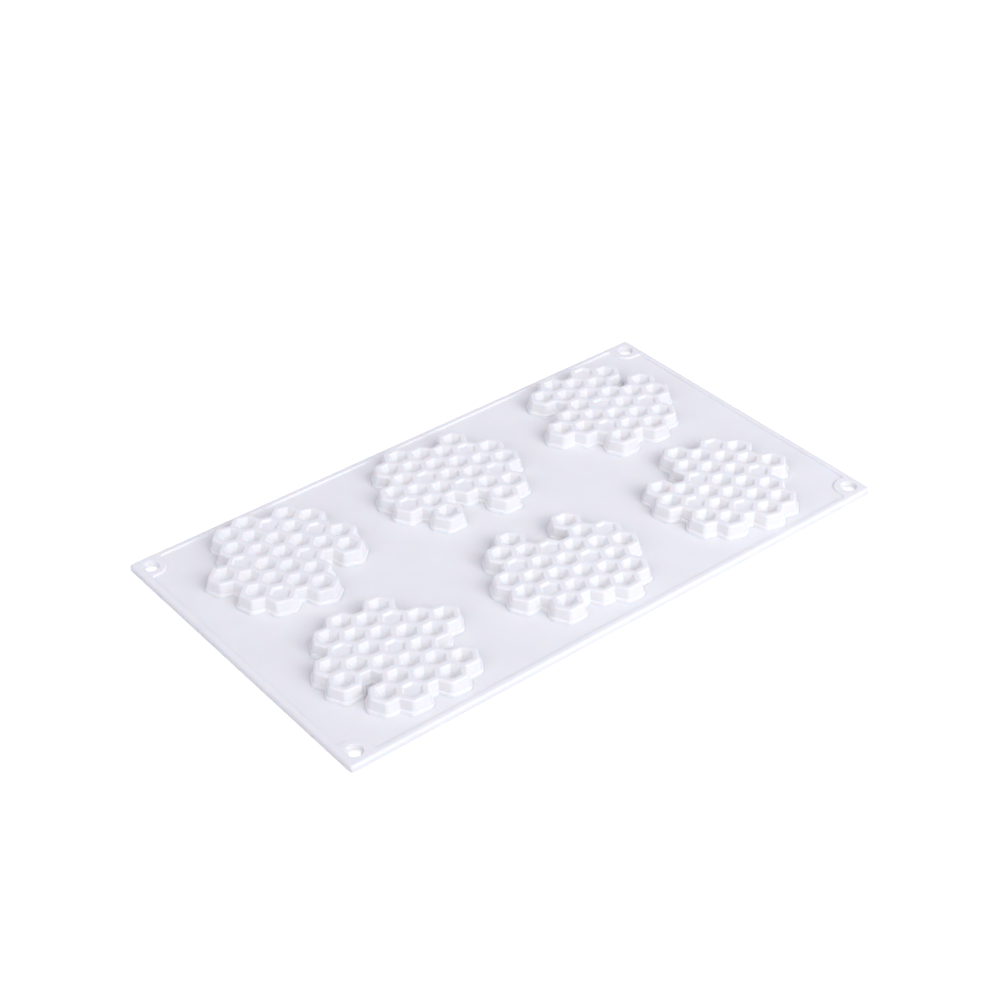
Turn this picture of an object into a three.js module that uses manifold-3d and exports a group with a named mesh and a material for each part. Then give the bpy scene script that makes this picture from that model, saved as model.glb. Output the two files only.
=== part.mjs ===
// Silicone soap mould: six honeycomb-comb cavities moulded into one flexible sheet.
// The mould rests on its open side, so the outsides of the cavities stand up from the sheet.
// Millimetres, +Z up. The origin is the middle of the open face, which lies on Z = 0.
// +X runs along the long side, "left" is -X, "front" is -Y.
//
// The real object is a single moulding. Each moulded region is its own solid here: the sheet,
// the raised rim, the corner pads and the cavity shells. All of them meet on the sheet's top face.
import * as THREE from 'three';
import { mergeVertices } from 'three/addons/utils/BufferGeometryUtils.js';
import Module from 'manifold-3d';

const wasm = await Module();
wasm.setup();
const { Manifold, Mesh: ManifoldMesh } = wasm;

// Driving dimensions.
const LENGTH = 300;
const WIDTH = 175;
const MOULD_HEIGHT = 9.1;
const SHEET_THICKNESS = 2.5;
const CORNER_RADIUS = 3;
const SILICONE_WALL = 1;

// Rim and corner pads.
const RIM_HEIGHT = 3;
const RIM_WIDTH = 3.3;
const RIM_EDGE = 0.3;
const EYELET_FROM_END = 7.1;
const EYELET_FROM_SIDE = 7.7;
const PAD_RADIUS = 7;
const EYELET_RADIUS = 2.85;
const EYELET_SINK_RADIUS = 4.35;
const EYELET_SINK_DEPTH = 1.5;

// Honeycomb cells: hexagons measured by apothem, the distance from centre to flat.
const CELL_PITCH = 11.14;
const PIT_APOTHEM = 4;
const DEEP_PIT = { depth: 4.4, floorApothem: 1.9 };
const SHALLOW_PIT = { depth: 1.4, floorApothem: 3.4 };
const PEG_DRAFT = 0.5;

// Outer skin of a cavity: plateau, drafted wall and the stepped foot round its base.
const PLATEAU_APOTHEM = 6.35;
const PLATEAU_EDGE = 0.6;
const WALL_TOP_APOTHEM = 6.9;
const WALL_FOOT_APOTHEM = 7.6;
const FOOT_HEIGHT = 1.4;
const FOOT_TOP_APOTHEM = 8.4;
const FOOT_APOTHEM = 8.57;

// Flex lines: the bare strips of sheet between the columns of cavities, where the mould bends.
const FLEX_X = 47.5;
const FLEX_GAP = 1;
const RIM_FLEX_GAP = 1.6;

// Three comb patterns. Columns step half a cell, rows are stacked from the far side to the near
// side; o is a deep cell and s a shallow one.
const COMB_A = {
  firstRow: 3,
  firstColumn: -5,
  rows: [
    '....o.o....',
    '...o.o.s.o.',
    'o.s.o.o.o.o',
    '.o.o.o.o.s.',
    'o.o.o.s.o.o',
    '.s.o.o...o.',
    '....o......',
  ],
};
const COMB_B = {
  firstRow: 3,
  firstColumn: -5,
  rows: [
    '....o.o....',
    '.o.o.o.o...',
    's.o.s.o.o.o',
    '.o.o.o.o.s.',
    'o...s.o.o.o',
    '.....o.s.o.',
    '....o.o....',
  ],
};
const COMB_C = {
  firstRow: 4,
  firstColumn: -6,
  rows: [
    '....o.o....',
    '.....o.o.s.',
    'o.o.o.o.o.o',
    '.o.o.s.o...',
    '..s.o.o.o.o',
    '.o.o.o.s.o.',
    '....o.o....',
  ],
};

// Each comb is used twice: once in the back row, and again turned half a turn in the front row.
const CAVITIES = [
  { side: 'left', back: COMB_A, front: COMB_C },
  { side: 'middle', back: COMB_B, front: COMB_B },
  { side: 'right', back: COMB_C, front: COMB_A },
];
const BACK_ROW_PLACES = new Map([
  [COMB_A, { x: -94.9, y: 43.3, turn: THREE.MathUtils.degToRad(13.2) }],
  [COMB_B, { x: 0.1, y: 43.15, turn: THREE.MathUtils.degToRad(31.4) }],
  [COMB_C, { x: 104.5, y: 36.8, turn: THREE.MathUtils.degToRad(27) }],
]);

const FOOT_TOP = SHEET_THICKNESS + FOOT_HEIGHT;
const CAVITY_CEILING = MOULD_HEIGHT - SILICONE_WALL;
const CUT = 1;
const HEXAGON_CORNER = 1 / Math.cos(Math.PI / 6);

const SILICONE_COLOUR = 0xe6e5ee;
const mould = new THREE.Group();
mould.name = 'silicone_soap_mould';

function siliconeMesh(name, geometry) {
  const material = new THREE.MeshStandardMaterial({
    color: SILICONE_COLOUR,
    roughness: 0.5,
    metalness: 0,
  });
  const mesh = new THREE.Mesh(geometry, material);
  mesh.name = name;
  mould.add(mesh);
  return mesh;
}

// Turns a closed three.js geometry into a solid that can be combined with others.
function toSolid(geometry) {
  const bare = new THREE.BufferGeometry();
  bare.setAttribute('position', geometry.getAttribute('position'));
  bare.setIndex(geometry.index);
  const merged = mergeVertices(bare, 1e-4);
  const corners = [];
  for (let i = 0; i < merged.index.count; i += 3) {
    const triangle = [0, 1, 2].map((k) => merged.index.getX(i + k));
    if (new Set(triangle).size === 3) {
      corners.push(...triangle);
    }
  }
  return new Manifold(new ManifoldMesh({
    numProp: 3,
    vertProperties: new Float32Array(merged.getAttribute('position').array),
    triVerts: new Uint32Array(corners),
  }));
}

function toGeometry(solid) {
  const { vertProperties, triVerts } = solid.getMesh();
  const geometry = new THREE.BufferGeometry();
  geometry.setAttribute('position', new THREE.BufferAttribute(vertProperties, 3));
  geometry.setIndex(new THREE.BufferAttribute(triVerts, 1));
  const faceted = geometry.toNonIndexed();
  faceted.computeVertexNormals();
  return faceted;
}

function addAll(solids) {
  return solids.reduce((sum, solid) => sum.add(solid));
}

function subtractAll(solid, cutters) {
  return cutters.reduce((rest, cutter) => rest.subtract(cutter), solid);
}

// Cuts everything above a height away, which leaves one flat face running across all the cells.
function flatTop(solid, z) {
  const slab = new THREE.BoxGeometry(LENGTH, LENGTH, MOULD_HEIGHT);
  slab.translate(0, 0, z + MOULD_HEIGHT / 2);
  return solid.subtract(toSolid(slab));
}

// Cell centres of a comb, in its own frame, with the deep or shallow mark of each cell.
function combCells({ firstRow, firstColumn, rows }) {
  return rows.flatMap((row, rowIndex) => {
    const rowNumber = firstRow - rowIndex;
    return [...row].flatMap((mark, columnIndex) => (mark === '.' ? [] : [{
      x: (CELL_PITCH * (firstColumn + columnIndex)) / 2,
      y: CELL_PITCH * rowNumber * Math.sin(Math.PI / 3),
      deep: mark === 'o',
    }]));
  });
}

// A hexagonal turning: profile is a list of [apothem, z] from the bottom centre to the top centre.
function hexTurning(profile, cell) {
  const points = profile.map(([apothem, z]) => new THREE.Vector2(apothem * HEXAGON_CORNER, z));
  const geometry = new THREE.LatheGeometry(points, 6);
  geometry.rotateX(Math.PI / 2);
  geometry.translate(cell.x, cell.y, 0);
  return geometry;
}

// The stepped foot round a cavity's base. Profiles run past the height they are cut flat at.
function footProfile() {
  const slope = (FOOT_APOTHEM - FOOT_TOP_APOTHEM) / FOOT_HEIGHT;
  return [
    [0, SHEET_THICKNESS],
    [FOOT_APOTHEM, SHEET_THICKNESS],
    [FOOT_TOP_APOTHEM - slope * CUT, FOOT_TOP + CUT],
    [0, FOOT_TOP + CUT],
  ];
}

function wallProfile() {
  const slope = (WALL_FOOT_APOTHEM - WALL_TOP_APOTHEM) / (MOULD_HEIGHT - PLATEAU_EDGE - FOOT_TOP);
  const edge = WALL_TOP_APOTHEM - PLATEAU_APOTHEM;
  return [
    [0, SHEET_THICKNESS],
    [WALL_FOOT_APOTHEM + slope * FOOT_HEIGHT, SHEET_THICKNESS],
    [WALL_TOP_APOTHEM, MOULD_HEIGHT - PLATEAU_EDGE],
    [PLATEAU_APOTHEM - edge, MOULD_HEIGHT + PLATEAU_EDGE],
    [0, MOULD_HEIGHT + PLATEAU_EDGE],
  ];
}

// The space that the soap fills, from below the open face up past the underside of the plateau.
function hollowProfile() {
  return [
    [0, -CUT],
    [WALL_FOOT_APOTHEM - SILICONE_WALL, -CUT],
    [WALL_TOP_APOTHEM - SILICONE_WALL, MOULD_HEIGHT],
    [0, MOULD_HEIGHT],
  ];
}

function pitProfile({ depth, floorApothem }) {
  const slope = (PIT_APOTHEM - floorApothem) / depth;
  return [
    [0, MOULD_HEIGHT - depth],
    [floorApothem, MOULD_HEIGHT - depth],
    [PIT_APOTHEM + slope * CUT, MOULD_HEIGHT + CUT],
    [0, MOULD_HEIGHT + CUT],
  ];
}

// The peg inside the cavity that carries a pit: the pit's shape with the silicone's thickness added.
function pegProfile({ depth, floorApothem }) {
  const bottom = CAVITY_CEILING - depth;
  const slope = (PIT_APOTHEM + PEG_DRAFT - floorApothem) / depth;
  const top = CAVITY_CEILING + SILICONE_WALL / 2;
  return [
    [0, bottom],
    [floorApothem + SILICONE_WALL - PEG_DRAFT, bottom],
    [PIT_APOTHEM + SILICONE_WALL + (slope * SILICONE_WALL) / 2, top],
    [0, top],
  ];
}

function cellSolids(cells, profileOf) {
  return cells.map((cell) => toSolid(hexTurning(profileOf(cell), cell)));
}

function pitOf(cell) {
  return cell.deep ? DEEP_PIT : SHALLOW_PIT;
}

// One cavity: its outer skin, minus the hollow left round the pegs, minus the pits.
function cavityShell(comb) {
  const cells = combCells(comb);
  const foot = flatTop(addAll(cellSolids(cells, footProfile)), FOOT_TOP);
  const outside = flatTop(addAll(cellSolids(cells, wallProfile)), MOULD_HEIGHT).add(foot);
  const hollow = flatTop(addAll(cellSolids(cells, hollowProfile)), CAVITY_CEILING);
  const hollowRoundPegs = subtractAll(hollow, cellSolids(cells, (cell) => pegProfile(pitOf(cell))));
  const hollowed = outside.subtract(hollowRoundPegs);
  return toGeometry(subtractAll(hollowed, cellSolids(cells, (cell) => pitProfile(pitOf(cell)))));
}

// Where each cavity stands; the front row is the back row turned half a turn about the middle.
function cavityPlaces() {
  return CAVITIES.flatMap(({ side, back, front }) => {
    const behind = BACK_ROW_PLACES.get(back);
    const ahead = BACK_ROW_PLACES.get(front);
    return [
      { side, row: 'back', comb: back, x: behind.x, y: behind.y, turn: behind.turn },
      { side, row: 'front', comb: front, x: -ahead.x, y: -ahead.y, turn: ahead.turn + Math.PI },
    ];
  });
}

function addCavities(places) {
  for (const { side, row, comb, x, y, turn } of places) {
    const mesh = siliconeMesh(`cavity_${row}_${side}`, cavityShell(comb));
    mesh.position.set(x, y, 0);
    mesh.rotation.z = turn;
  }
}

// The open mouths of one cavity, placed in the mould.
function mouthSolids({ comb, x, y, turn }) {
  return combCells(comb).map((cell) => {
    const geometry = hexTurning(hollowProfile(), cell);
    geometry.rotateZ(turn);
    geometry.translate(x, y, 0);
    return toSolid(geometry);
  });
}

// A rectangle in plan whose outer corners are rounded on the ends that reach the mould's end.
function panelShape(xMin, xMax) {
  const leftRadius = xMin === -LENGTH / 2 ? CORNER_RADIUS : 0;
  const rightRadius = xMax === LENGTH / 2 ? CORNER_RADIUS : 0;
  const yMax = WIDTH / 2;
  const shape = new THREE.Shape();
  shape.moveTo(xMin + leftRadius, -yMax);
  shape.lineTo(xMax - rightRadius, -yMax);
  if (rightRadius > 0) {
    shape.absarc(xMax - rightRadius, -yMax + rightRadius, rightRadius, -Math.PI / 2, 0);
    shape.absarc(xMax - rightRadius, yMax - rightRadius, rightRadius, 0, Math.PI / 2);
  } else {
    shape.lineTo(xMax, -yMax);
    shape.lineTo(xMax, yMax);
  }
  shape.lineTo(xMin + leftRadius, yMax);
  if (leftRadius > 0) {
    shape.absarc(xMin + leftRadius, yMax - leftRadius, leftRadius, Math.PI / 2, Math.PI);
    shape.absarc(xMin + leftRadius, -yMax + leftRadius, leftRadius, Math.PI, 1.5 * Math.PI);
  } else {
    shape.lineTo(xMin, yMax);
    shape.lineTo(xMin, -yMax);
  }
  return shape;
}

// A countersunk eyelet through the rim's height, standing at a point of the plan.
function eyeletCutter(x, y) {
  const sinkBottom = RIM_HEIGHT - EYELET_SINK_DEPTH;
  const slope = (EYELET_SINK_RADIUS - EYELET_RADIUS) / EYELET_SINK_DEPTH;
  const profile = [
    [0, -CUT],
    [EYELET_RADIUS, -CUT],
    [EYELET_RADIUS, sinkBottom],
    [EYELET_SINK_RADIUS + slope * CUT, RIM_HEIGHT + CUT],
    [0, RIM_HEIGHT + CUT],
  ];
  const geometry = new THREE.LatheGeometry(profile.map(([r, z]) => new THREE.Vector2(r, z)), 24);
  geometry.rotateX(Math.PI / 2);
  geometry.translate(x, y, 0);
  return toSolid(geometry);
}

function addSheetPanel(side, xMin, xMax, places) {
  const plain = new THREE.ExtrudeGeometry(panelShape(xMin, xMax), {
    depth: SHEET_THICKNESS,
    bevelEnabled: false,
    curveSegments: 6,
  });
  const cutters = places.filter((place) => place.side === side).flatMap(mouthSolids);
  if (side !== 'middle') {
    const eyeletX = Math.sign(xMin + xMax) * (LENGTH / 2 - EYELET_FROM_END);
    for (const eyeletY of [-1, 1].map((sign) => sign * (WIDTH / 2 - EYELET_FROM_SIDE))) {
      cutters.push(eyeletCutter(eyeletX, eyeletY));
    }
  }
  siliconeMesh(`sheet_${side}`, toGeometry(subtractAll(toSolid(plain), [addAll(cutters)])));
}

// Cross-section of the rim: x is measured inwards from the mould's edge, y is the height.
function rimShape() {
  const shape = new THREE.Shape();
  shape.moveTo(0, SHEET_THICKNESS);
  shape.lineTo(RIM_WIDTH, SHEET_THICKNESS);
  shape.lineTo(RIM_WIDTH - RIM_EDGE / 2, RIM_HEIGHT - RIM_EDGE / 2);
  shape.lineTo(RIM_WIDTH - RIM_EDGE, RIM_HEIGHT);
  shape.lineTo(RIM_EDGE, RIM_HEIGHT);
  shape.lineTo(RIM_EDGE * 0.3, RIM_HEIGHT - RIM_EDGE * 0.3);
  shape.lineTo(0, RIM_HEIGHT - RIM_EDGE);
  shape.closePath();
  return shape;
}

// A straight run of rim. In its own frame it runs along +X from the origin, with the mould's edge
// on y = 0 and the sheet towards +Y; turn is in quarter turns.
function addRimRun(name, length, x, y, quarterTurns) {
  const geometry = new THREE.ExtrudeGeometry(rimShape(), { depth: length, bevelEnabled: false });
  geometry.applyMatrix4(new THREE.Matrix4().makeBasis(
    new THREE.Vector3(0, 1, 0),
    new THREE.Vector3(0, 0, 1),
    new THREE.Vector3(1, 0, 0),
  ));
  const mesh = siliconeMesh(name, geometry);
  mesh.position.set(x, y, 0);
  mesh.rotation.z = (quarterTurns * Math.PI) / 2;
}

function addRim() {
  const endOfPad = EYELET_FROM_END + PAD_RADIUS;
  const sideOfPad = EYELET_FROM_SIDE + PAD_RADIUS;
  const flexEdge = FLEX_X + RIM_FLEX_GAP / 2;
  const outerRun = LENGTH / 2 - endOfPad - flexEdge;
  const middleRun = 2 * (FLEX_X - RIM_FLEX_GAP / 2);
  const endRun = WIDTH - 2 * sideOfPad;
  for (const [row, sign, quarterTurns] of [['front', -1, 0], ['back', 1, 2]]) {
    const y = (sign * WIDTH) / 2;
    addRimRun(`rim_${row}_left`, outerRun, sign < 0 ? -flexEdge - outerRun : -flexEdge, y, quarterTurns);
    addRimRun(`rim_${row}_middle`, middleRun, (sign * middleRun) / 2, y, quarterTurns);
    addRimRun(`rim_${row}_right`, outerRun, sign < 0 ? flexEdge : flexEdge + outerRun, y, quarterTurns);
  }
  addRimRun('rim_end_left', endRun, -LENGTH / 2, endRun / 2, 3);
  addRimRun('rim_end_right', endRun, LENGTH / 2, -endRun / 2, 1);
}

// Plan of a corner pad, with the mould's corner at the origin and the pad towards +X and +Y.
function padShape(endMargin, sideMargin) {
  const shape = new THREE.Shape();
  shape.moveTo(CORNER_RADIUS, 0);
  shape.lineTo(endMargin + PAD_RADIUS, 0);
  shape.absarc(endMargin, sideMargin, PAD_RADIUS, 0, Math.PI / 2);
  shape.lineTo(0, sideMargin + PAD_RADIUS);
  shape.absarc(CORNER_RADIUS, CORNER_RADIUS, CORNER_RADIUS, Math.PI, 1.5 * Math.PI);
  return shape;
}

// A raised pad in a corner of the mould, with a countersunk eyelet for hanging the mould up.
function addCornerPad(row, side) {
  const swapped = (row === 'front') !== (side === 'left');
  const margins = swapped
    ? [EYELET_FROM_SIDE, EYELET_FROM_END]
    : [EYELET_FROM_END, EYELET_FROM_SIDE];
  const plain = new THREE.ExtrudeGeometry(padShape(...margins), {
    depth: RIM_HEIGHT - SHEET_THICKNESS,
    bevelEnabled: false,
    curveSegments: 10,
  });
  plain.translate(0, 0, SHEET_THICKNESS);
  const pad = toSolid(plain).subtract(eyeletCutter(...margins));
  const mesh = siliconeMesh(`corner_pad_${row}_${side}`, toGeometry(pad));
  const quarterTurns = { front_left: 0, front_right: 1, back_right: 2, back_left: 3 }[`${row}_${side}`];
  mesh.position.set(side === 'left' ? -LENGTH / 2 : LENGTH / 2, row === 'front' ? -WIDTH / 2 : WIDTH / 2, 0);
  mesh.rotation.z = (quarterTurns * Math.PI) / 2;
}

const places = cavityPlaces();
addSheetPanel('left', -LENGTH / 2, -FLEX_X - FLEX_GAP / 2, places);
addSheetPanel('middle', -FLEX_X + FLEX_GAP / 2, FLEX_X - FLEX_GAP / 2, places);
addSheetPanel('right', FLEX_X + FLEX_GAP / 2, LENGTH / 2, places);
addRim();
for (const row of ['front', 'back']) {
  for (const side of ['left', 'right']) {
    addCornerPad(row, side);
  }
}
addCavities(places);

export default mould;
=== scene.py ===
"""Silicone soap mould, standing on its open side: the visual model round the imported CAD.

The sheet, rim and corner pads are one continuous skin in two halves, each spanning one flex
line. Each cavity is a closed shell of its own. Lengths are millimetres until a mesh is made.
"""
import math

import bmesh
import bpy
import numpy as np
from mathutils import Matrix, Vector
from mathutils.geometry import delaunay_2d_cdt


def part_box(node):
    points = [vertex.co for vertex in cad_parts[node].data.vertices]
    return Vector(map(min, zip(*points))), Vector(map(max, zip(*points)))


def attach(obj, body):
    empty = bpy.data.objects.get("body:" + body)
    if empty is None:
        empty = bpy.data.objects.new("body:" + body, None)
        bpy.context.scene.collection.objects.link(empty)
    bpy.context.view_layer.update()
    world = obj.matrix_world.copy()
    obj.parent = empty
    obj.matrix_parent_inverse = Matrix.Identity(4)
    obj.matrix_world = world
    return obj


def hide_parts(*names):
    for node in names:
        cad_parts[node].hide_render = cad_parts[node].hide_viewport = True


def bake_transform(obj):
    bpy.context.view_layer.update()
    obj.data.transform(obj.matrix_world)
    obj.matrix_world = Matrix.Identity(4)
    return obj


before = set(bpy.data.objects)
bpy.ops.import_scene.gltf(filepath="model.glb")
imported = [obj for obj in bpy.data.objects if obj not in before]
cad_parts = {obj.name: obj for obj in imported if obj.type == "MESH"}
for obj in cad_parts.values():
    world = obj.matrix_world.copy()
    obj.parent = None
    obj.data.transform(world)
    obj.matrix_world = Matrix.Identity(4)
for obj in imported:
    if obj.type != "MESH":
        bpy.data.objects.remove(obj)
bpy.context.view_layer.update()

MM = 0.001
ROWS = ("front", "back")
SIDES = ("left", "middle", "right")


# Sizes read from the CAD.

def box_mm(node):
    low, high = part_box(node)
    return np.array(low) / MM, np.array(high) / MM


PAD_LOW, PAD_HIGH = box_mm("corner_pad_front_left")
RIM_LOW, RIM_HIGH = box_mm("rim_end_left")
HALF_LENGTH = -PAD_LOW[0]
HALF_WIDTH = -PAD_LOW[1]
SHEET_TOP = box_mm("sheet_middle")[1][2]
# The rim and pads stand this much higher here than in the CAD.
RIM_PROUD = 0.25
RIM_TOP = PAD_HIGH[2] + RIM_PROUD
PLATEAU = box_mm("cavity_back_middle")[1][2]
RIM_WIDTH = RIM_HIGH[0] - RIM_LOW[0]
PAD_SIZE = PAD_HIGH[:2] - PAD_LOW[:2]
STRIP_INNER = box_mm("cavity_back_middle")[1][0]
STRIP_OUTER = box_mm("cavity_back_right")[0][0]

# The corners of the sheet, counter-clockwise from the front right, as signs of x and y.
CORNER_SIGNS = ((1, -1), (1, 1), (-1, 1), (-1, -1))
QUARTER_TURN = math.pi / 2
SIXTH_TURN = math.pi / 3
# A regular hexagon's corners are this many times as far out as the middles of its sides.
HEXAGON_CORNER = 1 / math.cos(math.pi / 6)

# Sizes of the rounded forms.
PITCH = 11.14
HALF_PITCH = PITCH / 2
CORNER_RADIUS = 1.7
TOP_ROUND = 1.5
FOOT_ROUND = 0.35
EDGE_SPACING = 1.25
PAD_RADIUS = 7.0
PAD_FILLET = 1.4
# An eyelet is sunk from both faces, round a thin lip.
EYELET_RADIUS = 2.65
EYELET_SINK_RADIUS = 3.8
EYELET_SINK_DEPTH = 1.4
EYELET_MOUTH_RADIUS = 4.9
WALL = 1.0
MOUTH_SEAM = 1.6


def direction(angle):
    return np.array([math.cos(angle), math.sin(angle)])


class Skin:
    """Rings of points and the faces between them, made into one mesh at the end."""

    def __init__(self):
        self.points = []
        self.faces = []

    def ring(self, plan, z):
        start = len(self.points)
        self.points.extend((x, y, z) for x, y in plan)
        return list(range(start, len(self.points)))

    def join(self, a, b):
        """Quads between two rings, facing outwards where b is above a and up where b is inside a."""
        n = len(a)
        for i in range(n):
            k = (i + 1) % n
            self.faces.append((a[i], a[k], b[k], b[i]))

    def loft(self, outline, profile):
        """Rings of outline(d) at height z for each (d, z) of the profile, joined in turn."""
        rings = [self.ring(outline(d), z) for d, z in profile]
        for a, b in zip(rings, rings[1:]):
            self.join(a, b)
        return rings

    def cap(self, ring, up=True):
        self.faces.append(tuple(ring) if up else tuple(reversed(ring)))

    def fill(self, outer, holes, up=True, extra=()):
        """Triangles over the flat region between an outer ring and the rings of its holes."""
        loops = [outer, *holes]
        used = [i for loop in loops for i in loop]
        z = self.points[outer[0]][2]
        extra = [self.ring([p], z)[0] for p in extra]
        flat = [Vector(self.points[i][:2]) for i in used + extra]
        edges, start = [], 0
        for loop in loops:
            n = len(loop)
            edges += [(start + k, start + (k + 1) % n) for k in range(n)]
            start += n
        out = delaunay_2d_cdt(flat, edges, [], 1, 1e-5, True)
        back = [(used + extra)[origin[0]] for origin in out[3]]
        triangles = np.array([[back[k] for k in face] for face in out[2]])
        plan = np.array(self.points)[:, :2]
        middles = plan[triangles].mean(axis=1)
        keep = inside(middles, plan[outer])
        for hole in holes:
            keep &= ~inside(middles, plan[hole])
        for triangle in triangles[keep]:
            a, b, c = plan[triangle]
            counter_clockwise = (b[0] - a[0]) * (c[1] - a[1]) > (b[1] - a[1]) * (c[0] - a[0])
            ordered = triangle if counter_clockwise == up else triangle[::-1]
            self.faces.append(tuple(int(k) for k in ordered))

    def mesh(self, name):
        mesh = bpy.data.meshes.new(name)
        mesh.from_pydata([(x * MM, y * MM, z * MM) for x, y, z in self.points], [], self.faces)
        return mesh


def inside(points, loop):
    """Which points lie inside a closed loop, by counting the edges crossed on the way out."""
    found = np.zeros(len(points), bool)
    ends = np.roll(loop, -1, axis=0)
    for (x0, y0), (x1, y1) in zip(loop, ends):
        if y0 == y1:
            continue
        crosses = (points[:, 1] > y0) != (points[:, 1] > y1)
        x = x0 + (points[:, 1] - y0) * (x1 - x0) / (y1 - y0)
        found ^= crosses & (points[:, 0] < x)
    return found


def arc(centre, radius, start, end, steps):
    return [centre + radius * direction(start + (end - start) * k / steps) for k in range(steps + 1)]


def quarter(start, end, steps, convex_first):
    """A quarter-round between two (d, z) points; it leaves start along z if convex_first."""
    (d0, z0), (d1, z1) = start, end
    points = []
    for k in range(steps + 1):
        s, c = math.sin(math.pi / 2 * k / steps), math.cos(math.pi / 2 * k / steps)
        if convex_first:
            points.append((d0 + (d1 - d0) * (1 - c), z0 + (z1 - z0) * s))
        else:
            points.append((d0 + (d1 - d0) * s, z0 + (z1 - z0) * (1 - c)))
    return points


# Outlines. A corner is (point, angle of the edge normal before it, angle after it).

def rounded_outline(corners, offset, convex_radius, reflex_radius, steps):
    """The outline moved outwards by offset, with its corners rounded."""
    points = []
    for point, before, after in corners:
        n = direction(before) + direction(after)
        mitre = n / (1 + math.cos(after - before))
        if after > before:
            centre = point + (offset - convex_radius) * mitre
            points += arc(centre, convex_radius, before, after, steps)
        else:
            centre = point + (offset + reflex_radius) * mitre
            points += arc(centre, reflex_radius, before + math.pi, after + math.pi, steps)
    return points


def densify(points, pattern):
    """Splits each edge into as many steps as the same edge of the pattern outline needs."""
    out = []
    for k, start in enumerate(points):
        end = points[(k + 1) % len(points)]
        span = np.linalg.norm(pattern[(k + 1) % len(pattern)] - pattern[k])
        steps = max(1, round(span / EDGE_SPACING))
        out += [start + (end - start) * i / steps for i in range(steps)]
    return out


class Comb:
    """The cells of one cavity, read from the flat pit floors of its CAD solid."""

    def __init__(self, node):
        cells = pit_floors(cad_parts[node])
        first = cells[0][0]
        nearest = min((c for c, _ in cells[1:]), key=lambda c: np.linalg.norm(c - first))
        self.angle = math.atan2(*(nearest - first)[::-1]) % SIXTH_TURN
        across = PITCH * direction(self.angle)
        up = PITCH * direction(self.angle + SIXTH_TURN)
        basis = np.linalg.inv(np.array([across, up]).T)
        self.cells = {}
        for centre, deep in cells:
            i, j = np.round(basis @ (centre - first)).astype(int)
            self.cells[(i, j)] = (first + i * across + j * up, deep)
        self.corners = self.trace()

    STEPS = ((1, 0), (0, 1), (-1, 1), (-1, 0), (0, -1), (1, -1))

    def beside(self, key, k):
        i, j = self.STEPS[k % 6]
        return key[0] + i, key[1] + j

    def trace(self):
        """Corners of the cluster's outline, counter-clockwise, round the edges with no cell beyond."""
        start = next((key, k) for key in self.cells for k in range(6)
                     if self.beside(key, k) not in self.cells)
        key, k = start
        turn = k
        corners = []
        while True:
            normal = self.angle + turn * SIXTH_TURN
            reach = HALF_PITCH * HEXAGON_CORNER
            corner = self.cells[key][0] + reach * direction(self.angle + (k + 0.5) * SIXTH_TURN)
            neighbour = self.beside(key, k + 1)
            if neighbour in self.cells:
                key, k, turn = neighbour, (k - 1) % 6, turn - 1
            else:
                k, turn = (k + 1) % 6, turn + 1
            corners.append((corner, normal, self.angle + turn * SIXTH_TURN))
            if (key, k) == start:
                return corners

    def outline(self, offset):
        """The cluster's outline moved outwards, its convex corners rounded about one centre each."""
        return rounded_outline(self.corners, offset, offset - CORE, REFLEX_RADIUS, 6)


def pit_floors(solid):
    """(centre, deep) of each pit: the middle of each flat floor that faces up below the plateau."""
    lowest, highest = SHEET_TOP + 2, PLATEAU - 0.7
    floors = []
    for face in solid.data.polygons:
        centre = np.array(face.center) / MM
        if face.normal.z < 0.99 or not lowest < centre[2] < highest:
            continue
        corners = {tuple(np.round(np.array(solid.data.vertices[i].co[:2]) / MM, 3)) for i in face.vertices}
        for floor in floors:
            if np.linalg.norm(floor["near"] - centre[:2]) < HALF_PITCH:
                floor["corners"] |= corners
                break
        else:
            deep = centre[2] < (lowest + highest) / 2
            floors.append({"near": centre[:2], "corners": corners, "deep": deep})
    return [(np.mean(list(f["corners"]), axis=0), f["deep"]) for f in floors]


def hexagon(cell, angle, apothem, corner_radius, steps):
    """A hexagon with rounded corners; the apothem is from its middle to the middle of a side."""
    corners = [
        (cell + apothem * HEXAGON_CORNER * direction(angle + (k + 0.5) * SIXTH_TURN),
         angle + k * SIXTH_TURN, angle + (k + 1) * SIXTH_TURN)
        for k in range(6)
    ]
    return rounded_outline(corners, 0, corner_radius, 0, steps)


# Profiles of a pit and of the peg behind it: (apothem, depth, corner radius).
DEEP_PIT = (
    (4.48, 0, 0.85), (4.4, 0.02, 0.75), (4.32, 0.08, 0.68), (4.22, 0.2, 0.6), (4.08, 0.42, 0.54),
    (3.7, 1.1, 0.48), (3.2, 2.0, 0.48), (2.7, 2.9, 0.55), (2.28, 3.6, 0.7),
    (1.95, 4.0, 0.8), (1.5, 4.25, 0.75), (0.8, 4.35, 0.5),
)
SHALLOW_PIT = (
    (4.48, 0, 0.85), (4.4, 0.02, 0.75), (4.31, 0.07, 0.68), (4.2, 0.17, 0.6), (4.05, 0.32, 0.54),
    (3.52, 0.9, 0.46), (3.42, 0.98, 0.44), (3.3, 1.03, 0.42), (3.16, 1.05, 0.4),
)
DEEP_PEG = (
    (5.38, 0, 0.9), (5.2, 0.05, 0.95), (5.08, 0.2, 1.0), (5.0, 0.45, 1.0), (4.7, 1.6, 1.0),
    (4.25, 2.7, 1.1), (3.6, 3.6, 1.3), (2.8, 4.15, 1.5), (1.7, 4.4, 1.3),
)
SHALLOW_PEG = (
    (5.38, 0, 0.9), (5.2, 0.05, 0.95), (5.08, 0.2, 1.0), (5.0, 0.4, 1.0), (4.8, 1.05, 1.0),
    (4.62, 1.3, 0.95), (4.3, 1.4, 0.9),
)

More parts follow.
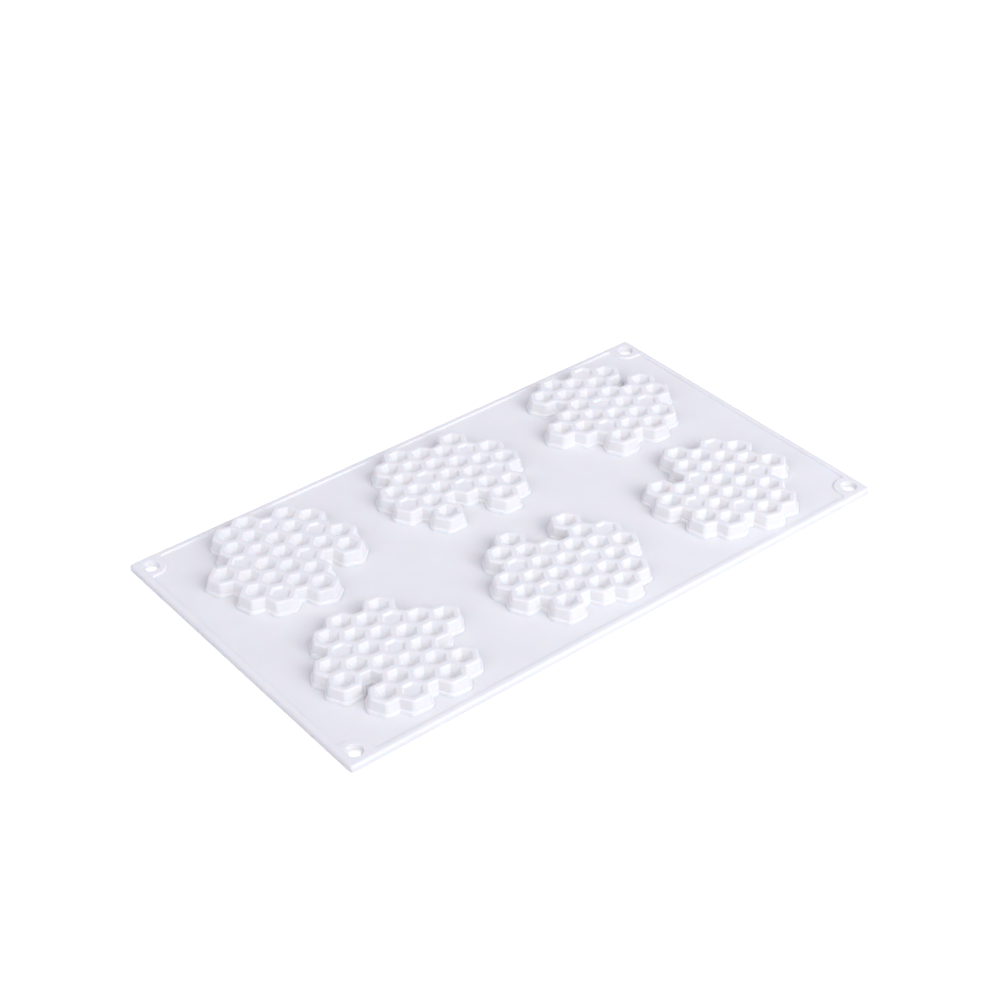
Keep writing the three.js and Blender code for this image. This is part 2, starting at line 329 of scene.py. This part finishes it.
# The outside of a cavity: how far each part lies outside the outline of its cells, and its height.
FOOT = 3.0
FOOT_TOP = 2.83
FOOT_HEIGHT = 1.35
WALL_FOOT = 1.98
WALL_TOP = 1.4
PLATEAU_ROUND = 1.05
CORE = -0.8
REFLEX_RADIUS = 0.55


def outer_profile():
    """(offset, z) up the outside of a cavity, from the open face to the edge of the plateau."""
    foot_top = SHEET_TOP + FOOT_HEIGHT
    hidden = SHEET_TOP - 0.1
    return [
        (MOUTH_SEAM, 0),
        (MOUTH_SEAM, hidden),
        (FOOT + 0.55, hidden),
        *quarter((FOOT + 0.55, SHEET_TOP - 0.01), (FOOT, SHEET_TOP + 0.45), 5, False),
        *quarter((FOOT_TOP, foot_top - 0.4), (FOOT_TOP - 0.42, foot_top), 5, True),
        *quarter((WALL_FOOT + 0.25, foot_top + 0.12), (WALL_FOOT, foot_top + 0.4), 4, False),
        *quarter((WALL_TOP, PLATEAU - PLATEAU_ROUND), (WALL_TOP - PLATEAU_ROUND, PLATEAU), 8, True),
    ]


def hollow_profile():
    """(offset, z) from the mouth's edge on the open face up to the ceiling of the hollow."""
    mouth = WALL_FOOT - WALL
    ceiling = PLATEAU - WALL
    top = WALL_TOP - WALL
    return [
        (MOUTH_SEAM, 0),
        *quarter((mouth + 0.3, 0), (mouth, 0.3), 4, False),
        *quarter((top, ceiling - 0.3), (top - 0.3, ceiling), 4, True),
    ]


def build_cavity(name, comb):
    """One closed shell: the stepped outside with its pits, and the hollow with its pegs."""
    skin = Skin()
    rings = skin.loft(comb.outline, outer_profile())
    pits, pegs = [], []
    for centre, deep in comb.cells.values():
        pit = [
            skin.ring(hexagon(centre, comb.angle, apothem, radius, 5), PLATEAU - depth)
            for apothem, depth, radius in (DEEP_PIT if deep else SHALLOW_PIT)
        ]
        for a, b in zip(pit, pit[1:]):
            skin.join(a, b)
        skin.cap(pit[-1])
        pits.append(pit[0])
        peg = [
            skin.ring(hexagon(centre, comb.angle, apothem, radius, 4), PLATEAU - WALL - depth)
            for apothem, depth, radius in (DEEP_PEG if deep else SHALLOW_PEG)
        ]
        for a, b in zip(peg, peg[1:]):
            skin.join(b, a)
        skin.cap(peg[-1], up=False)
        pegs.append(peg[0])
    skin.fill(rings[-1], pits)
    inner = [rings[0]]
    for d, z in hollow_profile()[1:]:
        inner.append(skin.ring(comb.outline(d), z))
    for a, b in zip(inner, inner[1:]):
        skin.join(b, a)
    skin.fill(inner[-1], pegs, up=False)
    return skin.mesh(name)


# The sheet with its rim and corner pads.

def rectangle_corners():
    return [
        (np.array([sx * HALF_LENGTH, sy * HALF_WIDTH]), (k - 1) * QUARTER_TURN, k * QUARTER_TURN)
        for k, (sx, sy) in enumerate(CORNER_SIGNS)
    ]


def sheet_corners():
    """Corners of the thin sheet inside the rim, which steps in round each corner pad."""
    corners = []
    for k, (sx, sy) in enumerate(CORNER_SIGNS):
        corner = np.array([sx * HALF_LENGTH, sy * HALF_WIDTH])
        inwards = -np.array([sx, sy])
        along_x = corner + inwards * np.array([PAD_SIZE[0], RIM_WIDTH])
        tip = corner + inwards * PAD_SIZE
        along_y = corner + inwards * np.array([RIM_WIDTH, PAD_SIZE[1]])
        path = (along_x, tip, along_y) if k % 2 == 0 else (along_y, tip, along_x)
        before = (k - 1) * QUARTER_TURN
        after = k * QUARTER_TURN
        corners += [(path[0], before, after), (path[1], after, before), (path[2], before, after)]
    return corners


RECTANGLE = rectangle_corners()
SHEET_OUTLINE = sheet_corners()


def edge_outline(inset):
    """The outer edge of the rim, moved inwards by inset."""
    def rounded(d):
        return rounded_outline(RECTANGLE, -d, CORNER_RADIUS - d, 0, 8)
    return densify(rounded(inset), rounded(0))


def rim_outline(inset):
    """The inner edge of the rim and pads, moved inwards over the sheet by inset."""
    def rounded(d):
        points = []
        for corner, before, after in SHEET_OUTLINE:
            reflex = after < before
            radius = PAD_RADIUS + d if reflex else PAD_FILLET - d
            points += rounded_outline([(corner, before, after)], -d, radius, radius, 10)
        return points
    return densify(rounded(inset), rounded(0))


def circle(centre, radius, steps=48):
    return [centre + radius * direction(2 * math.pi * k / steps) for k in range(steps)]


def eyelet_centres():
    reach = np.array([HALF_LENGTH, HALF_WIDTH]) - (PAD_SIZE - PAD_RADIUS)
    return [reach * np.array([sx, sy]) for sx in (-1, 1) for sy in (-1, 1)]


def strip_points():
    """Rows of points across both flex strips, which make the sheet's mesh fine there."""
    from_cavities, from_rim = 0.6, 2
    xs = np.linspace(STRIP_INNER + from_cavities, STRIP_OUTER - from_cavities, 15)
    reach = HALF_WIDTH - RIM_WIDTH - from_rim
    ys = np.linspace(-reach, reach, 41)
    return [np.array([sign * x, y]) for sign in (-1, 1) for x in xs for y in ys]


def build_sheet(name, combs):
    """The whole skin of sheet, rim and pads, with the eyelets and an opening under each cavity."""
    skin = Skin()
    outer = skin.loft(edge_outline, [
        *quarter((FOOT_ROUND, 0), (0, FOOT_ROUND), 4, False),
        *quarter((0, RIM_TOP - TOP_ROUND), (TOP_ROUND, RIM_TOP), 8, True),
    ])
    step = skin.loft(rim_outline, [
        *quarter((-0.3, RIM_TOP), (-0.05, RIM_TOP - 0.15), 3, False),
        *quarter((0.3, SHEET_TOP + 0.1), (0.4, SHEET_TOP), 3, True),
    ])
    lip = RIM_TOP - EYELET_SINK_DEPTH
    tops, bottoms = [], []
    for centre in eyelet_centres():
        rings = skin.loft(lambda r: circle(centre, r), [
            *quarter((EYELET_SINK_RADIUS + 0.3, RIM_TOP), (EYELET_SINK_RADIUS, RIM_TOP - 0.2), 3, False),
            (EYELET_SINK_RADIUS - 0.3, lip + 0.3),
            *quarter((EYELET_RADIUS + 0.2, lip), (EYELET_RADIUS, lip - 0.15), 2, False),
            *quarter((EYELET_RADIUS, lip - 0.3), (EYELET_RADIUS + 0.2, lip - 0.45), 2, True),
            (EYELET_MOUTH_RADIUS - 0.2, 0.15),
            (EYELET_MOUTH_RADIUS, 0),
        ])
        tops.append(rings[0])
        bottoms.append(rings[-1])
    mouths_top, mouths_bottom = [], []
    for comb in combs:
        plan = comb.outline(MOUTH_SEAM)
        low, high = skin.ring(plan, 0), skin.ring(plan, SHEET_TOP)
        skin.join(high, low)
        mouths_bottom.append(low)
        mouths_top.append(high)
    skin.fill(outer[-1], [step[0], *tops])
    skin.fill(step[-1], mouths_top, extra=strip_points())
    skin.fill(outer[0], [*bottoms, *mouths_bottom], up=False, extra=strip_points())
    return skin.mesh(name)


def half_of(mesh, name, sign):
    """The half of a mesh on one side of x = 0, left open on the cut, where the halves meet."""
    bm = bmesh.new()
    bm.from_mesh(mesh)
    geometry = bm.verts[:] + bm.edges[:] + bm.faces[:]
    bmesh.ops.bisect_plane(bm, geom=geometry, dist=1e-7, plane_co=(0, 0, 0), plane_no=(-sign, 0, 0),
                           clear_outer=True)
    half = bpy.data.meshes.new(name)
    bm.to_mesh(half)
    bm.free()
    return half


def add_piece(name, mesh, material):
    """A smooth-shaded piece whose flats stay flat and whose square edges stay sharp."""
    mesh.shade_smooth()
    mesh.set_sharp_from_angle(angle=math.radians(60))
    piece = bpy.data.objects.new(name, mesh)
    bpy.context.scene.collection.objects.link(piece)
    mesh.materials.append(material)
    normals = piece.modifiers.new("crisp_flats", "WEIGHTED_NORMAL")
    normals.mode = "FACE_AREA"
    normals.weight = 50
    normals.keep_sharp = True
    return piece


# Material.

SILICONE_DEEP = (0.81, 0.795, 0.78)
SILICONE_PALE = (0.84, 0.825, 0.81)


def add_node(tree, kind, **values):
    """A shader node with the given input values; a key may name an input or a property."""
    node = tree.nodes.new(kind)
    for key, value in values.items():
        label = key.replace("_", " ").title()
        if label in node.inputs:
            node.inputs[label].default_value = value
        else:
            setattr(node, key, value)
    return node


def noise_between(tree, place, scale, low, high, detail=2.0):
    """A value that wanders between low and high; scale is in features per millimetre."""
    noise = add_node(tree, "ShaderNodeTexNoise", scale=scale, detail=detail)
    spread = add_node(tree, "ShaderNodeMapRange")
    spread.inputs["From Min"].default_value = 0.3
    spread.inputs["From Max"].default_value = 0.7
    spread.inputs["To Min"].default_value = low
    spread.inputs["To Max"].default_value = high
    tree.links.new(place, noise.inputs["Vector"])
    tree.links.new(noise.outputs["Fac"], spread.inputs["Value"])
    return spread.outputs["Result"]


def silicone_material():
    """White silicone: soft inside, satin and faintly grained, with fine cutter lines on its walls."""
    material = bpy.data.materials.new("silicone")
    material.use_nodes = True
    tree = material.node_tree
    shader = tree.nodes["Principled BSDF"]
    shader.subsurface_method = "RANDOM_WALK"
    shader.inputs["IOR"].default_value = 1.41
    shader.inputs["Subsurface Weight"].default_value = 1.0
    shader.inputs["Subsurface Radius"].default_value = (1.0, 0.8, 0.7)
    shader.inputs["Subsurface Scale"].default_value = 0.42 * MM
    place = add_node(tree, "ShaderNodeTexCoord")
    in_mm = add_node(tree, "ShaderNodeVectorMath", operation="SCALE")
    in_mm.inputs["Scale"].default_value = 1 / MM
    tree.links.new(place.outputs["Object"], in_mm.inputs[0])
    point = in_mm.outputs["Vector"]

    tint = add_node(tree, "ShaderNodeMix", data_type="RGBA")
    tint.inputs["A"].default_value = (*SILICONE_DEEP, 1)
    tint.inputs["B"].default_value = (*SILICONE_PALE, 1)
    tree.links.new(noise_between(tree, point, 0.06, 0.2, 0.8), tint.inputs["Factor"])
    tree.links.new(tint.outputs["Result"], shader.inputs["Base Color"])
    tree.links.new(noise_between(tree, point, 0.4, 0.42, 0.52), shader.inputs["Roughness"])

    grain = add_node(tree, "ShaderNodeBump", strength=0.25, distance=0.01 * MM)
    tree.links.new(noise_between(tree, point, 3.0, 0, 1, detail=4.0), grain.inputs["Height"])
    lines = add_node(tree, "ShaderNodeTexWave", bands_direction="Z", scale=0.55, distortion=0.6)
    tree.links.new(point, lines.inputs["Vector"])
    walls = add_node(tree, "ShaderNodeBump", strength=0.2, distance=0.02 * MM)
    tree.links.new(lines.outputs["Fac"], walls.inputs["Height"])
    tree.links.new(grain.outputs["Normal"], walls.inputs["Normal"])
    tree.links.new(walls.outputs["Normal"], shader.inputs["Normal"])
    return material


# Floor, light and camera.

SKY_COLOUR = (1.0, 0.975, 1.14, 1)
LAMP_COLOUR = (0.94, 1.0, 1.07)
FLOOR_REACH = 40.0
FLOOR_GAP = 0.05 * MM


def add_floor():
    """A plain white floor, which looks partly self-lit but returns light as a pale grey would."""
    mesh = bpy.data.meshes.new("floor")
    mesh.from_pydata([(sx * FLOOR_REACH, sy * FLOOR_REACH, 0) for sx, sy in CORNER_SIGNS], [],
                     [(0, 1, 2, 3)])
    floor = bpy.data.objects.new("floor", mesh)
    floor.location.z = -FLOOR_GAP
    bpy.context.scene.collection.objects.link(floor)
    material = bpy.data.materials.new("floor")
    material.use_nodes = True
    tree = material.node_tree
    shader = tree.nodes["Principled BSDF"]
    shader.inputs["Roughness"].default_value = 0.9
    shader.inputs["Emission Color"].default_value = (1, 1, 1, 1)
    path = tree.nodes.new("ShaderNodeLightPath")
    for name, seen, bounced in (("Base Color", 0.25, 0.7), ("Emission Strength", 0.85, 0)):
        tone = add_node(tree, "ShaderNodeMapRange")
        tone.inputs["To Min"].default_value = bounced
        tone.inputs["To Max"].default_value = seen
        tree.links.new(path.outputs["Is Camera Ray"], tone.inputs["Value"])
        tree.links.new(tone.outputs["Result"], shader.inputs[name])
    mesh.materials.append(material)


def add_lamp(name, kind, azimuth, elevation, strength):
    """A lamp facing the origin, and the way to it; the azimuth is counted from +X towards +Y."""
    light = bpy.data.lights.new(name, kind)
    light.energy = strength
    light.color = LAMP_COLOUR
    lamp = bpy.data.objects.new(name, light)
    flat = direction(math.radians(azimuth)) * math.cos(math.radians(elevation))
    towards = Vector((*flat, math.sin(math.radians(elevation))))
    lamp.rotation_euler = towards.to_track_quat("Z", "Y").to_euler()
    bpy.context.scene.collection.objects.link(lamp)
    return lamp, towards


def add_sun(name, azimuth, elevation, spread, strength):
    """A soft light from far away, as wide in the sky as its spread in degrees."""
    lamp, _ = add_lamp(name, "SUN", azimuth, elevation, strength)
    lamp.data.angle = math.radians(spread)


def add_panel(name, azimuth, elevation, distance, size, power):
    """A round panel near the object."""
    lamp, towards = add_lamp(name, "AREA", azimuth, elevation, power)
    lamp.data.shape = "DISK"
    lamp.data.size = size
    lamp.location = towards * distance


def add_light():
    world = bpy.data.worlds.new("studio")
    bpy.context.scene.world = world
    world.use_nodes = True
    background = world.node_tree.nodes["Background"]
    background.inputs["Color"].default_value = SKY_COLOUR
    background.inputs["Strength"].default_value = 0.53
    add_sun("key", -75, 40, 44, 1.41)
    add_sun("left_fill", 180, 35, 50, 0.72)
    add_panel("front_panel", -75, 25, 0.62, 0.3, 0.6)
    bpy.context.scene.view_settings.view_transform = "Standard"


def add_camera():
    """The photograph's viewpoint; the azimuth is counted from -Y towards +X."""
    azimuth, elevation, roll = math.radians(-37.69), math.radians(35.77), math.radians(1.46)
    distance = 985.55 * MM
    target = Vector((12.72, 21.26, 0)) * MM
    back = Vector((math.sin(azimuth) * math.cos(elevation),
                   -math.cos(azimuth) * math.cos(elevation), math.sin(elevation)))
    camera = bpy.data.objects.new("camera", bpy.data.cameras.new("camera"))
    camera.data.sensor_width = 36
    camera.data.lens = 74.96
    camera.data.clip_start = 0.01
    bpy.context.scene.collection.objects.link(camera)
    camera.location = target + back * distance
    camera.rotation_mode = "QUATERNION"
    looking = (-back).to_track_quat("-Z", "Y")
    camera.rotation_quaternion = looking @ Matrix.Rotation(-roll, 4, "Z").to_quaternion()
    bpy.context.scene.camera = camera


# Assembly.

silicone = silicone_material()
combs = {}
for row in ROWS:
    for side in SIDES:
        node = f"cavity_{row}_{side}"
        combs[node] = Comb(node)
        piece = add_piece(f"{node}_skin", build_cavity(f"{node}_skin", combs[node]), silicone)
        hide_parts(node)
        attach(piece, f"{side}_panel")

whole_sheet = build_sheet("whole_sheet", list(combs.values()))
for side, sign in (("left", -1), ("right", 1)):
    name = f"sheet_skin_{side}"
    piece = add_piece(name, half_of(whole_sheet, name, sign), silicone)
    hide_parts(f"sheet_{side}", "sheet_middle", f"rim_end_{side}",
                *[f"rim_{row}_{part}" for row in ROWS for part in (side, "middle")],
                *[f"corner_pad_{row}_{side}" for row in ROWS])
    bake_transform(piece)

add_floor()
add_light()
add_camera()
